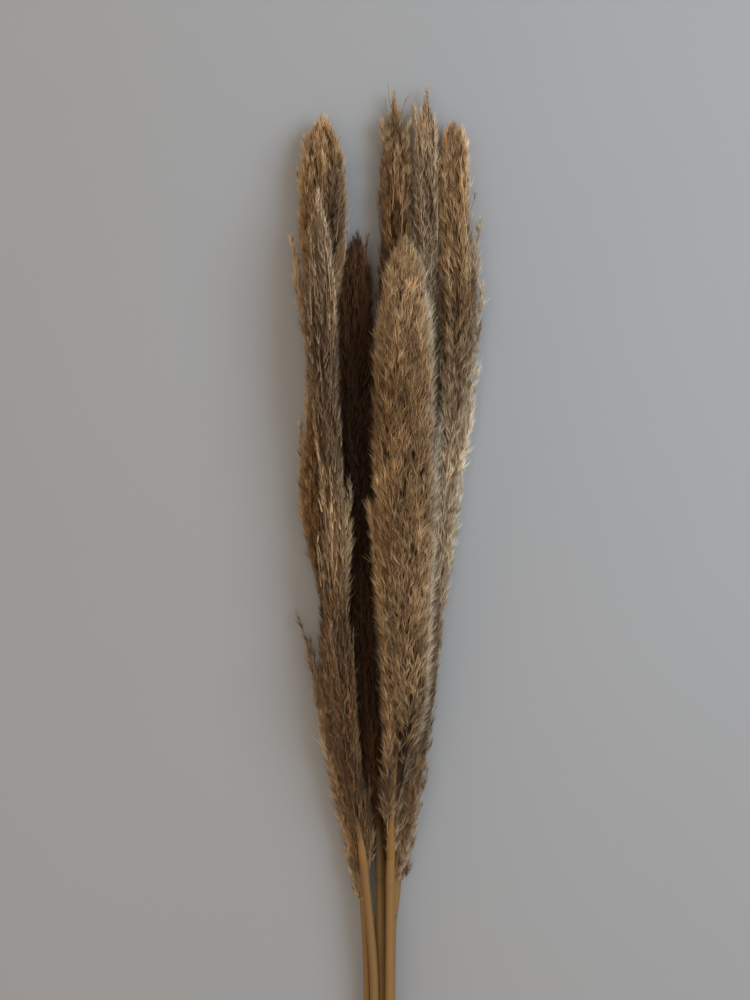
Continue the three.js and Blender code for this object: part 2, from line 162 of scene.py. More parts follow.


# A look gives the number of branches and tufts, of husks and hairs a tuft, how far tufts stand off,
# spread and lean sideways (splay), and how far hairs fan out. Cover is the share of tufts between
# branches, relief the unevenness, fringe the extra reach of a few hairs, held and slim how far hairs
# stay inside the outline, all along and in the crown. Levels (lightness, which holds the plume's own
# tone together with painted light and shade) and pale (share of pale hairs) go from foot to tip,
# patches are X, Y, half width, half length and lightness of spots of painted light and shade, some of
# them the plume's own tone, and bare is where hairs begin to cover the cane. A pale side is a painted
# highlight along the side that faces the window, and foot shade is painted shade on a cane just below
# its plume. Strays are single threads from point to point, with a bow.
STALKS = (
    Stalk(
        "left_back", -531, -153, 515, (-467, -317, -168), (80, 2.6, 0.7),
        (-13.5, -13.5, -15.4, -15.5, -20.2, -31, -42, -46, -56, -53.6, -52.8, -53.2, -54.2),
        (3.9, 3.9, 8.9, 13, 12, 13.5, 14.5, 13.5, 14.5, 14, 14.5, 17.5, 14),
        (11.5, 15, 13, 16.5, 15, 16, 21, 21),
        ((105, 248, 176, 18.5, 1), (-35, 85, 182, 28, 2), (-75, 22, 165, 18.5, 1),
         (-120, -34, 180, 14.5, 1), (-150, -98, 180, 10, 1), (300, 406, 178, 26.5, 1),
         (-156, -118, 178, 7, 1), (420, 491, 178, 15, 1), (355, 462, 180, 21, 1)),
        ((-52, 395, -72, 399, 2), (-45, 28, -57.5, 70, 2), (-54, 500, -56, 517, 0)),
        slot="plume_brown", strands=150, tufts=6900, blades=(1, 4), stand=0.45, fan=0.34, width=2,
        tone_and_shade_levels=(0.92, 0.86, 0.7, 0.34, 0.72, 0.78, 0.7, 0.9, 1.42), splay=1.3,
        pale=(0.2, 0.35, 0.08, 0.25, 0.12), tone_and_light_patches=((-43, 432, 11, 30, 0.32),), fringe=3,
    ),
    Stalk(
        "left_front", -536, -122, 449, (-467.6, -320.1, -129), (80, 2.2, 0.85),
        (-9, -9, -10.9, -9.8, -17.4, -26.5, -35, -42, -44.8, -50.5, -52.8, -56.8, -57.5),
        (11.9, 11.9, 16, 21.3, 24.5, 30, 36, 37, 40, 41.5, 43.5, 44, 40),
        (9, 12, 12, 12.8, 12.8, 12.6, 12, 12),
        ((90, 200, -5, 15, 1), (250, 350, 165, 14, 1), (-20, 80, 120, 13, 1),
         (-122, -52, -8, 13, 1)),
        ((-31, 74.6, -21.5, 74.8, 0),),
        slot="plume_pale", strands=90, tufts=3900, blades=(3, 2), stand=0.24, fan=0.24, width=1.3,
        cover=0.42, relief=4, tone_and_shade_levels=(0.84, 0.38, 0.38, 0.49, 1.06, 0.61, 0.38, 0.78, 1.04),
        pale=(0, 0, 0.15, 0.25, 0.42), tone_and_light_patches=((-14, -84, 4, 40, 0.4),), bare=-110, cane_shade=0.18,
    ),
    Stalk(
        "middle_back", -528, -90, 417, (-469.4, -320.9, -134), (70, 2.6, 0.8),
        (0, 0, -2.7, -4.3, -5.2, -9.4, -15, -20.8, -22.8, -24.2, -25, -24.8, -24.8),
        (11.9, 11.9, 12.8, 14.4, 15.2, 14.4, 13, 13.5, 14.5, 15, 15, 13, 10),
        (7.5, 12.5, 13.5, 15, 16, 15.8, 15.5, 15.5),
        ((290, 390, 60, 13, 1), (-70, 30, 100, 12, 1), (320, 409, 15, 9, 1)),
        slot="plume_dark", strands=90, tufts=4200, blades=(1, 3), stand=0.32, fan=0.28, width=1.6,
        tone_and_shade_levels=(0.45, 0.4, 0.35, 0.3, 0.26, 0.33, 0.36, 0.49, 0.62), painted_foot_shade=1, fringe=4,
    ),
    Stalk(
        "right_back_near", -540, -132, 537, (-466.4, -326.7, -170), (90, 2.6, 1.3),
        (-4.5, -4.5, -7.5, -9, -2.8, -0.2, 1.3, 2, 3.5, 6, 8, 8.8, 6.5),
        (3.9, 3.9, 5.3, 7, 6.8, 7.7, 10, 12, 13, 13.5, 14, 13, 10.5),
        (8.5, 12.5, 14.5, 15, 14.8, 14.4, 14, 14),
        ((400, 505, 165, 10.5, 1), (410, 508, 20, 12, 1), (280, 380, 165, 15, 1)),
        ((1, 480, -0.3, 527, 1), (-3, 458, -6.8, 489, 1), (-4, 380, -7.6, 439, 1.5),
         (-5, 330, -11.5, 372, 1), (-7, 338, -9.5, 362, 0.5), (14, 498, 21, 533, -4),
         (3.5, 520, 1.6, 541, 0)),
        slot="plume_tan", strands=110, tufts=5200, blades=(1, 4), stand=0.34, fan=0.3, width=1.5,
        relief=3, tone_and_shade_levels=(0.34, 0.34, 0.34, 0.34, 0.32, 0.3, 0.3, 0.58, 1), fringe=4.5,
        pale=(0, 0, 0, 0, 0.2), tone_and_light_patches=((8, 481, 14, 17, 1.22),),
    ),
    Stalk(
        "right_back_middle", -534, -140, 540, (-457.1, -297.3, -167), (85, 3, 1.4),
        (4.5, 4.5, 1.3, -0.5, 9.8, 12.9, 17.8, 24.5, 29, 31, 32, 33.1, 34.9),
        (3.9, 3.9, 4.4, 6.7, 4.9, 6.4, 11.9, 12.5, 13, 13.5, 14, 13, 10.5),
        (9, 12, 13.5, 14, 14, 13.6, 13.4, 13.4),
        ((420, 516, 150, 11, 1), (-136, -76, 2, 13, 1)),
        ((24, 500, 21.5, 522, 1),),
        slot="plume_grey", strands=110, tufts=5800, blades=(2, 2), stand=0.36, fan=0.3, width=1.5,
        relief=4, tone_and_shade_levels=(0.4, 0.42, 0.44, 0.46, 0.48, 0.52, 0.68, 0.66, 1.52), fringe=4,
        pale=(0, 0, 0, 0.5, 0),
    ),
    Stalk(
        "front", -525, -115, 409, (-440.2, -311.4, -139), (90, 3, 0.62),
        (9, 9, 5, 2.9, 3.5, 8, 15.5, 16.4, 16.2, 15, 15.2, 16.6, 17),
        (11.9, 11.9, 17.5, 23.2, 25.5, 31.1, 38, 42, 45, 45.5, 45.5, 43, 41),
        (8.5, 21, 25, 27.3, 26.8, 25, 24, 24),
        ((60, 180, 175, 29.5, 1), (230, 340, 60, 25, 1), (-90, 10, 140, 17, 1), (120, 240, 5, 28, 1)),
        slot="plume_golden", strands=190, tufts=6650, blades=(1, 5), stand=0.58, fan=0.42, width=2.2,
        hair=1.25, splay=1.8, tone_and_shade_levels=(0.66, 0.26, 0.68, 0.87, 0.67, 0.7, 0.54, 0.91, 0.94),
        pale=(0.08, 0.1, 0.05, 0, 0), tone_and_light_patches=((32, 0, 10, 26, 0.72), (-2, -54, 7, 20, 0.65)),
        painted_rim_light=0.9, fringe=3.5, held=1.8, slim=3, bare=-48, stem_shift=-3.5,
    ),
    Stalk(
        "right_back", -538, -139, 508, (-469.7, -309, -165), (60, 4, 0.45),
        (13.5, 13.5, 8.5, 4.3, 7, 19.5, 31, 41, 50, 57.2, 60.8, 58.5, 57),
        (3.9, 3.9, 9.1, 14, 15.6, 16, 13.5, 13.5, 13, 13, 15, 13.5, 11.5),
        (10.5, 12, 11.5, 11.5, 13, 16.4, 14, 13.6),
        ((195, 298, 2, 19, 1), (262, 368, 3, 21, 1), (318, 422, 5, 20, 1), (85, 200, 0, 13, 1),
         (-130, -44, 8, 12.5, 1), (-140, -96, 12, 7, 1)),
        ((70, 430, 76, 448, 1),),
        slot="plume_tan", strands=130, tufts=6100, blades=(1, 4), stand=0.38, fan=0.3, width=1.7,
        splay=1.3, relief=3, tone_and_shade_levels=(0.62, 0.43, 0.38, 0.73, 1.16, 0.82, 0.56, 0.72, 1.42),
        pale=(0.2, 0.2, 0.85, 0.26, 0.1), tone_and_light_patches=((60, 388, 14, 22, 1.65), (63, 305, 11, 20, 0.7)),
        painted_rim_light=0.35, fringe=3,
    ),
)


def press(offset, normal, wall, reach):
    """Draws in what lies between the knee and the full reach, and lets nothing pass the wall."""
    depth = np.sum(offset * normal, axis=-1)
    knee = KNEE * wall
    scale = (wall - knee) / np.maximum(reach - knee, 1e-6)
    drawn = np.where(reach > wall, knee + (depth - knee) * scale, depth)
    kept = np.where(depth > knee, np.minimum(drawn, wall), depth)
    return offset - normal * (depth - kept)[..., None]


def settle(stalk, y, offset):
    """Keeps points, given by their offset from the centre line, inside the stalk's own share."""
    here = stalk.centre(y)
    own = stalk.plume_radius(y)
    reach = own * PRESSED_REACH
    for other in STALKS:
        if other is stalk:
            continue
        away = other.centre(y) - here
        distance = np.maximum(norm(away), 1e-6)
        firm = other.firm_radius(y)
        theirs = np.where(y < other.base, firm, other.plume_radius(y))
        clearance = np.where(y < other.base + FOOT_LENGTH, CANE_CLEARANCE, PLUME_CLEARANCE)
        middle = (distance**2 + own**2 - theirs**2) / (2 * distance)
        nearest = stalk.firm_radius(y) + clearance / 2
        wall = np.minimum(np.maximum(middle - clearance / 2, nearest), distance - firm - clearance)
        pressed = press(offset, away / distance[..., None], wall, reach)
        beside = (y <= other.tip) & (y >= other.cut)
        offset = np.where(beside[..., None], pressed, offset)
    return press(offset, np.array([0.0, -1.0]), here[..., 1] + FLOOR_BITE, reach)


def hair_outline(stalk, y):
    """How far out the hairs reach: a little inside the plume's outline where the look says so."""
    crown = CLOSING_START * stalk.crown_length
    closing = np.clip((y - stalk.tip + crown) / CLOSING_LENGTH, 0, 1)
    kept = stalk.look.get("held", 0.0) + stalk.look.get("slim", 0.0) * closing
    return np.maximum(stalk.plume_radius(y) - kept, stalk.firm_radius(y) * (1 - closing))


def around(turn, distance):
    """Offsets from a centre line, as X and Z, at given angles and distances."""
    return np.stack([np.cos(turn), np.sin(turn)], axis=-1) * distance[..., None]


def norm(vectors):
    return np.linalg.norm(vectors, axis=-1)


def unit(vectors):
    return vectors / np.maximum(np.linalg.norm(vectors, axis=-1, keepdims=True), 1e-9)


def needle_template(bulge):
    """A three-sided needle along +Z of unit length, its foot drawn out to a point behind it."""
    bpy.ops.object.select_all(action="DESELECT")
    bpy.ops.mesh.primitive_cone_add(vertices=3, radius1=0.5, radius2=0, depth=1 - bulge)
    needle = bpy.context.object
    bpy.ops.object.mode_set(mode="EDIT")
    mesh = bmesh.from_edit_mesh(needle.data)
    for face in mesh.faces:
        face.select = face.normal.z < -0.9
    bmesh.update_edit_mesh(needle.data)
    if bulge:
        bpy.ops.mesh.poke(offset=bulge)
    bpy.ops.mesh.select_all(action="SELECT")
    bpy.ops.mesh.quads_convert_to_tris()
    bpy.ops.mesh.normals_make_consistent()
    bpy.ops.object.mode_set(mode="OBJECT")
    points = np.array([v.co for v in needle.data.vertices])
    faces = np.array([p.vertices for p in needle.data.polygons])
    points[:, 2] -= points[:, 2].min()
    bpy.data.objects.remove(needle)
    return points / points[:, 2].max(), faces


def tuft_template(rng, husks, hairs, fan):
    """A tuft: a few seed husks at its foot and hairs that fan out round them. Lengths are shares of
    the tuft's own. Returns points, faces and, for each point, how far along its blade it lies and
    the blade's tone, which is low for a husk."""
    husk = needle_template(0.3)
    hair = needle_template(0)
    husk_width = 0.65 if hairs > 2 else 1
    points, faces, marks = [], [], []
    start = 0
    for k in range(husks + hairs):
        is_hair = k >= husks
        shape, skin = hair if is_hair else husk
        flat = 1 if is_hair else 0.5
        length = rng.uniform(0.8, 1.2) if is_hair else rng.uniform(0.5, 0.75)
        width = rng.uniform(0.036, 0.054) if is_hair else rng.uniform(0.11, 0.16) * husk_width
        tilt = rng.uniform(0.2, 1.0) * fan * flat
        turn = 2.4 * k + rng.uniform(-0.4, 0.4)
        blade = shape * (width, width * flat, length)
        for angle, turned in ((rng.uniform(0, math.pi), "z"), (tilt, "y"), (turn, "z")):
            c, s = math.cos(angle), math.sin(angle)
            about_z = [[c, s, 0], [-s, c, 0], [0, 0, 1]]
            about_y = [[c, 0, -s], [0, 1, 0], [s, 0, c]]
            blade = blade @ np.array(about_z if turned == "z" else about_y)
        if is_hair:
            blade[:, 2] += rng.uniform(0.0, 0.2)
        points.append(blade)
        faces.append(skin + start)
        tone = rng.uniform(0.45, 1.0) if is_hair else rng.uniform(0.0, 0.15)
        marks.append(np.stack([shape[:, 2], np.full(len(shape), tone)], axis=-1))
        start += len(shape)
    return np.concatenate(points), np.concatenate(faces), np.concatenate(marks)


def stamp(template, feet, directions, sizes, rolls):
    """Copies of a template, each standing at its own foot in its own direction."""
    points, faces, marks = template
    ahead = unit(directions)
    side = unit(np.cross(ahead, np.array([0.13, 0.21, 0.97])))
    up = np.cross(side, ahead)
    c, s = np.cos(rolls)[:, None], np.sin(rolls)[:, None]
    x_axis = side * c + up * s
    y_axis = up * c - side * s
    basis = np.stack([x_axis, -y_axis, ahead], axis=1)
    placed = np.einsum("vk,nkd->nvd", points, basis) * sizes[:, None, None] + feet[:, None, :]
    shift = np.arange(len(feet))[:, None, None] * len(points)
    return placed.reshape(-1, 3), (faces[None] + shift).reshape(-1, 3), np.tile(marks, (len(feet), 1))


def ring_faces(rings, sides):
    """Triangles that join rings of points into a tube and close both its ends."""
    faces = []
    for k in range(rings - 1):
        for i in range(sides):
            a, b = k * sides + i, k * sides + (i + 1) % sides
            faces += [(a, b, b + sides), (a, b + sides, a + sides)]
    last = (rings - 1) * sides
    for i in range(1, sides - 1):
        faces += [(0, i + 1, i), (last, last + i, last + i + 1)]
    return np.array(faces)


def tube(path, radii, sides=3):
    """A closed tube along a path of points."""
    ahead = unit(np.gradient(path, axis=0))
    side = unit(np.cross(ahead, np.array([0.05, 0.0, 1.0])))
    up = np.cross(side, ahead)
    angles = np.arange(sides) / sides * 2 * math.pi
    ring = side[:, None] * np.cos(angles)[None, :, None] + up[:, None] * np.sin(angles)[None, :, None]
    points = (path[:, None] + ring * np.asarray(radii)[:, None, None]).reshape(-1, 3)
    return points, ring_faces(len(path), sides)


def light_marks(stalk, points):
    """For each point: 1 at the plume's outline and 0 deep inside it, which paints shade deep in the
    plume; how light the plume is there, which holds its own tone along it together with painted light
    and shade in spots and a painted shadow close under another plume; and how far it belongs to the
    plume's pale part, which holds paler hairs together with a painted highlight on the window side."""
    look = stalk.look
    y = points[:, 1]
    offset = points[:, (0, 2)] - stalk.centre(y)
    distance = norm(offset)
    away = offset / np.maximum(distance, 1e-6)[:, None]
    outline = norm(settle(stalk, y, away * hair_outline(stalk, y)[:, None]))
    # Painted shade: points deeper below the outline are marked darker.
    depth = np.clip(1 - (outline - distance) / SHADED_DEPTH, 0, 1)

    along = stalk.along(y)
    # Lightness along the plume: its own tone together with painted light and shade.
    level = np.interp(along, np.linspace(0, 1, 9), look["tone_and_shade_levels"])
    # Spots of painted light and shade, some of them the plume's own tone.
    for x0, y0, wide, long, light in look.get("tone_and_light_patches", ()):
        near = np.exp(-(((points[:, 0] - x0) / wide) ** 2) - ((y - y0) / long) ** 2)
        level = level * (1 + (light - 1) * near)
    # Painted shadow: darker close under a higher neighbouring plume.
    for other in STALKS:
        if other is not stalk:
            over = other.centre(y)
            gap = norm(points[:, (0, 2)] - over) - other.plume_radius(y)
            above = np.clip((over[:, 1] - points[:, 2]) / SHADOW_HEIGHT, 0, 1)
            above = above * (y > other.base) * (y < other.tip + SHADOW_REACH)
            level = level * (1 - 0.5 * above * np.exp(-np.maximum(gap, 0) / SHADOW_REACH))

    # Painted highlight: paler along the side that faces the window light, out towards the outline and not
    # at the very tip.
    turn = np.arctan2(offset[:, 1], offset[:, 0])
    side = look.get("painted_rim_light", 0.0) * np.exp(-(((turn - 0.1) / 0.4) ** 2))
    side = side * np.clip(distance / 8, 0, 1) * np.clip((1 - along) / 0.08, 0, 1)
    pale = np.interp(along, np.linspace(0, 1, 5), look.get("pale", (0,) * 5))
    return depth, level, np.clip(pale + side, 0, 1)


def link(name, data):
    made = bpy.data.objects.new(name, data)
    bpy.context.scene.collection.objects.link(made)
    return made


def mark_points(mesh, name, values):
    """Writes a number for each point, which a material reads by its name."""
    layer = mesh.attributes.new(name, "FLOAT", "POINT")
    layer.data.foreach_set("value", values.astype(np.float32))


class Fibres:
    """Gathers the parts of one plume with, for each point, how far along its fibre it lies, its own
    tone (a husk's is near 0), its tuft's and its branch's shade, and whether it is middle stalk."""

    def __init__(self):
        self.points, self.faces, self.marks = [], [], []
        self.count = 0

    def add(self, points, faces, along, hair, tuft, branch, stem=0.0):
        n = len(points)
        columns = [np.broadcast_to(values, n) for values in (along, hair, tuft, branch, stem)]
        self.points.append(points)
        self.faces.append(faces + self.count)
        self.marks.append(np.stack(columns, axis=-1))
        self.count += n

    def finish(self, name, stalk, material):
        """Makes the plume's mesh, with what would pass the floor pressed up above it."""
        points = np.concatenate(self.points)
        low = points[:, 2] < FLOOR_BAND
        sunk = FLOOR_BAND - points[low, 2]
        points[low, 2] = FLOOR_BAND - FLOOR_SQUASH * (1 - np.exp(-sunk / FLOOR_SQUASH))
        faces = np.concatenate(self.faces)
        marks = np.concatenate(self.marks)
        mesh = bpy.data.meshes.new(name)
        mesh.vertices.add(len(points))
        mesh.vertices.foreach_set("co", (points * MM).astype(np.float32).ravel())
        mesh.loops.add(len(faces) * 3)
        mesh.loops.foreach_set("vertex_index", faces.astype(np.int32).ravel())
        mesh.polygons.add(len(faces))
        mesh.polygons.foreach_set("loop_start", np.arange(0, len(faces) * 3, 3, dtype=np.int32))
        mesh.polygons.foreach_set("loop_total", np.full(len(faces), 3, dtype=np.int32))
        mesh.update(calc_edges=True)
        fibre = mesh.attributes.new("fibre", "FLOAT_COLOR", "POINT")
        fibre.data.foreach_set("color", marks[:, :4].astype(np.float32).ravel())
        # Marks for painted shade deep in the plume, for the lightness with its painted light and shade,
        # and for the pale share with its painted highlight.
        for mark, values in zip(("depth", "level", "pale"), light_marks(stalk, points)):
            mark_points(mesh, mark, values)
        mark_points(mesh, "stem", marks[:, 4])
        mesh.materials.append(material)
        piece = link(name, mesh)
        bpy.ops.object.select_all(action="DESELECT")
        piece.select_set(True)
        bpy.context.view_layer.objects.active = piece
        bpy.ops.object.shade_smooth()
        return piece


def side_strands(stalk, rng, count):
    """Side branches: each comes up from inside the plume and ends near its outline, low down shorter
    and further out. Gives their stations, their offsets from the centre line, their lengths, and how
    far their tufts stand proud."""
    look = stalk.look
    span = stalk.tip - stalk.base
    tries = rng.uniform(stalk.base + 12, stalk.tip - 0.5 * stalk.crown_length, count * 5)
    weight = stalk.plume_radius(tries) + 2
    end = rng.choice(tries, count, replace=False, p=weight / weight.sum())[:, None]
    flare = np.clip(1 - (end - stalk.base) / (0.34 * span), 0, 1)
    length = rng.uniform(55, 125, count)[:, None] * (1 - 0.5 * flare)
    foot = np.maximum(end - length, stalk.base - 5)
    u = np.linspace(0, 1, STRAND_STEPS)[None, :]
    y = foot + (end - foot) * u
    radius = hair_outline(stalk, y)
    past = -2.2 - look.get("relief", 2.0) * rng.random(count)[:, None] ** 1.5
    past = past + rng.uniform(0, 2.6, count)[:, None] * flare
    proud = rng.random(count) < PROUD_SHARE
    past = np.where(proud[:, None], rng.uniform(-1.0, 2.0, count)[:, None], past)
    rise = u**1.3
    distance = radius - np.minimum(7.0, 0.45 * radius) * (1 - rise) + past * rise
    distance = np.maximum(distance, 0.3 * radius)
    turn = rng.uniform(0, 2 * math.pi, count)[:, None]
    bare = look.get("bare", NEVER) + 40 * rng.random(count)[:, None]
    turn = np.where((foot < bare) & (np.sin(turn) > 0.25), -turn, turn)
    turn = turn + rng.normal(0, 0.14, count)[:, None] * (u - 0.5)
    held = settle(stalk, y, around(turn, distance))
    pressed = np.clip(10 - 10 * norm(held) / distance, 0, 1)
    drawn = 0.22 * (GOLDEN_SHARE * np.arange(count) % 1)[:, None]
    return y, held * (1 - drawn * pressed)[..., None], (end - foot)[:, 0], 3.0 * proud


def crown_strands(stalk, rng, count):
    """The branches of the plume's top: each runs straight up and ends where the outline closes over
    it, so that the top is a fringe. The first one is the plume's tip."""
    grid = np.linspace(stalk.tip - stalk.crown_length, stalk.tip, 500)
    outline = hair_outline(stalk, grid)
    level = 0.97 * outline[0] * np.sqrt(rng.random(count))
    level[0] = 0.3
    end = np.array([grid[outline >= min(r, outline[0])].max() for r in level])
    end = end - rng.uniform(7, 17, count)
    end[0] = stalk.tip - 5
    length = rng.uniform(42, 85, count)
    u = np.linspace(0, 1, STRAND_STEPS)[None, :]
    y = end[:, None] - length[:, None] * (1 - u)
    turn = (GOLDEN_ANGLE * np.arange(count))[:, None] + rng.normal(0, 0.2, count)[:, None] * u
    distance = level[:, None] * (1 + 0.12 * (1 - u))
    return y, settle(stalk, y, around(turn, distance)), length, rng.uniform(0, 2.0, count)


def loose_sprays(stalk):
    """The loose sprays, in the same form as branches: shorter twigs part from the longest one."""
    u = np.linspace(0, 1, STRAND_STEPS)[None, :]
    twig = np.tile(np.arange(TWIGS), len(stalk.sprays))[:, None]
    start, end, side, out, curve = np.repeat(np.array(stalk.sprays, float), TWIGS, axis=0).T[..., None]
    way = u * (1 - 0.16 * twig)
    y = start + (end - start) * way
    lift = out * (SPRAY_START + (1 - SPRAY_START) * way**curve)
    bearing = np.radians(side)
    apart = np.where(twig == 0, 0, 2.0 + 0.9 * twig) * u**0.7
    offset = around(bearing, lift) + around(bearing + 2.4 * twig + 0.6, apart)
    return y, settle(stalk, y, offset), y[:, -1] - y[:, 0], np.zeros(len(y))


def add_core(stalk, rng, fibres):
    """The plume's closed body under the tufts. It comes up close where another plume presses on it,
    so that nothing shows through there, and lies low behind the part of the cane that shows."""
    sides = 20
    stations = np.linspace(stalk.base + 0.5, stalk.tip - 9, 90)
    angle = np.arange(sides) / sides * 2 * math.pi
    y = np.repeat(stations[:, None], sides, axis=1)
    ridge = rng.uniform(-1, 1, sides)[None] * 0.09 + 0.07 * rng.uniform(-1, 1, y.shape)
    outline = stalk.plume_radius(y)
    radius = np.minimum(outline * (CORE_SHARE + ridge), hair_outline(stalk, y) - CORE_DEPTH)
    radius = np.maximum(radius, 0.55 * stalk.firm_radius(y))
    held = norm(settle(stalk, y, around(angle, 1.1 * outline)))
    closing = np.clip((y - stalk.tip) / stalk.crown_length + 1, 0, 1)
    seam = (held < 1.04 * outline) & (np.sin(angle) > -0.4) & (closing < 0.65)
    radius = np.where(seam, np.maximum(radius, (0.92 - 0.4 * closing) * held), radius)
    bare = stalk.look.get("bare", stalk.base)
    sunk = np.interp(y, (stalk.base, bare + 25, bare + 85), (0.5, 0.5, 12.0))
    radius = np.where(np.sin(angle) > -0.3, np.minimum(radius, sunk), radius)
    core = stalk.points(y, settle(stalk, y, around(angle, radius)))
    shade = np.tile(rng.uniform(0.2, 0.8, sides), len(stations))
    faces = ring_faces(len(stations), sides)[:, ::-1]
    # The core's low along mark paints it in shade, darker than the hairs over it.
    fibres.add(core.reshape(-1, 3), faces, -0.65, 0.5, rng.uniform(0.1, 0.7, len(shade)), shade)


def add_stem(stalk, fibres):
    """The cane's upper end inside the plume's foot, straw-coloured as far as it shows."""
    sides = 10
    bare = stalk.look.get("bare", stalk.base)
    y = np.linspace(stalk.base - 3, bare + 60, 30)
    shift = stalk.look.get("stem_shift", 0.0) * np.clip((y - stalk.base) / 50, 0, 1)
    path = stalk.points(y, np.stack([shift, 0 * y], axis=-1))
    radii = np.interp(y, (stalk.base, stalk.base + 14, bare + 10, bare + 60), (3.56, 3.3, 2.6, 0.5))
    skin, faces = tube(path, radii, sides)
    straw = np.interp(np.repeat(y, sides), (stalk.base, bare - 8, bare + 30), (1.0, 0.95, 0.1))
    fibres.add(skin, faces, 0.5, 0.0, 0.5, 0.5, straw)


def hold_tips(stalk, rng, feet, way, size, free, past):
    """Turns each tuft so that its tip ends at the plume's outline, or at a neighbour where the two
    touch. Tufts on the loose sprays keep their way. Gives ways and sizes."""
    count = len(feet)
    tips = feet + way * size[:, None]
    foot = norm(feet[:, (0, 2)] - stalk.centre(feet[:, 1]))
    grid = np.linspace(stalk.tip - stalk.crown_length, stalk.tip, 300)
    closing = np.minimum.accumulate(hair_outline(stalk, grid))
    highest = np.interp(-0.85 * foot, -closing, grid) + rng.uniform(-7, 5.5, count)
    y = np.minimum(tips[:, 1], highest)
    y = np.minimum(np.maximum(y, feet[:, 1] + 0.35 * size), stalk.tip + 3)
    offset = tips[:, (0, 2)] - stalk.centre(y)
    distance = np.maximum(norm(offset), 1e-6)[:, None]
    outline = stalk.plume_radius(y)
    pressed = settle(stalk, y, offset / distance * (1.1 * outline)[:, None])
    touching = norm(pressed) < 1.06 * outline
    most = hair_outline(stalk, y) * rng.uniform(0.82, 1, count)
    most = most + rng.uniform(-0.5, 1.9, count) + past
    most = most + stalk.look.get("fringe", 1.5) * rng.random(count) ** 3
    most = np.maximum(most, 0.5 * foot)
    offset = np.where(
        (touching & (distance[:, 0] > 0.75 * outline))[:, None],
        pressed * rng.uniform(0.88, 1.24, count)[:, None],
        settle(stalk, y, offset * np.minimum(1, most / distance[:, 0])[:, None]),
    )
    held = stalk.points(y, offset)
    reach = norm(held - feet)
    way = np.where(free[:, None], way, unit(held - feet))
    return way, np.where(free, size, np.clip(reach, 0.4 * size, size))


def add_stray(stalk, rng, fibres, template, thread, settings):
    """A single thread that has come loose, with a few small tufts towards its end if it bows."""
    x0, y0, x1, y1, bow = thread
    u = np.linspace(0, 1, STRAND_STEPS)
    x = x0 + (x1 - x0) * u + bow * np.sin(u * math.pi)
    y = y0 + (y1 - y0) * u
    lift = stalk.centre(y0)[1] + 0.35 * stalk.plume_radius(y0)
    path = np.stack([x, y, np.full(len(u), lift)], axis=-1)
    skin, faces = tube(path, np.linspace(0.32, 0.14, len(u)))
    fibres.add(skin, faces, 0.3, 0.6, 0.05, 0.05)
    if bow == 0:
        return
    number = int(np.linalg.norm(path[-1] - path[0]) / 2.5)
    at = rng.uniform(2.5, 7.99, number)
    low = at.astype(int)
    step = path[low + 1] - path[low]
    feet = path[low] + step * (at - low)[:, None]
    size = rng.uniform(0.3, 0.55, number) * settings.tuft_length / MM
    way = unit(step + rng.normal(0, 0.75, (number, 3)))
    skin, faces, marks = stamp(template, feet, way, size, rng.uniform(0, 6, number))
    fibres.add(skin, faces, marks[:, 0], marks[:, 1], 0.3, 0.3)


def branch_tufts(stalk, rng, path, length, loose, count):
    """Tufts on the branches, closer together on the loose sprays. Gives their feet, ways and sizes,
    each one's branch, and how far up the branch it stands."""
    look = stalk.look
    weight = length * np.where(loose, 4.6, 1.0)
    number = rng.multinomial(count, weight / weight.sum())
    owner = np.repeat(np.arange(len(path)), number)
    free = loose[owner]
    u = rng.uniform(0.06, 1, count) ** np.where(free, 1.0, 0.8)
    u[np.concatenate([[0], np.cumsum(number)[:-1]])[number > 0]] = 1.0
    at = u * (path.shape[1] - 1)
    low = np.minimum(at.astype(int), path.shape[1] - 2)
    part = (at - low)[:, None]
    feet = path[owner, low] * (1 - part) + path[owner, low + 1] * part
    ahead = unit(path[owner, low + 1] - path[owner, low])
    outward = feet - stalk.points(feet[:, 1], np.zeros((count, 2)))
    outward = unit(outward - ahead * np.sum(outward * ahead, axis=-1, keepdims=True))
    across = np.cross(ahead, outward)
    width = np.where(free, 1.3 * (1.2 - u), look["width"] * (1.2 - 0.75 * u))
    feet = feet + across * rng.normal(0, 1, count)[:, None] * width[:, None]
    depth = np.where(free, rng.normal(0, 1, count) * width, rng.normal(-0.3, 0.6, count))
    feet = feet + outward * depth[:, None]
    turn = np.where(free, rng.uniform(-math.pi, math.pi, count), rng.normal(0, 1.0, count))
    stand = np.where(free, 0.45, look["stand"])
    lean = stand * rng.uniform(0.35, 1.3, count) * (1.15 - 0.55 * u)
    size = rng.uniform(0.7, 1.2, count) * (1.08 - 0.28 * u) * np.where(free, 1.08, 1.0)
    away = outward * np.cos(turn)[:, None] + across * np.sin(turn)[:, None]
    way = ahead * np.cos(lean)[:, None] + away * np.sin(lean)[:, None]
    return feet, way, size, owner, u


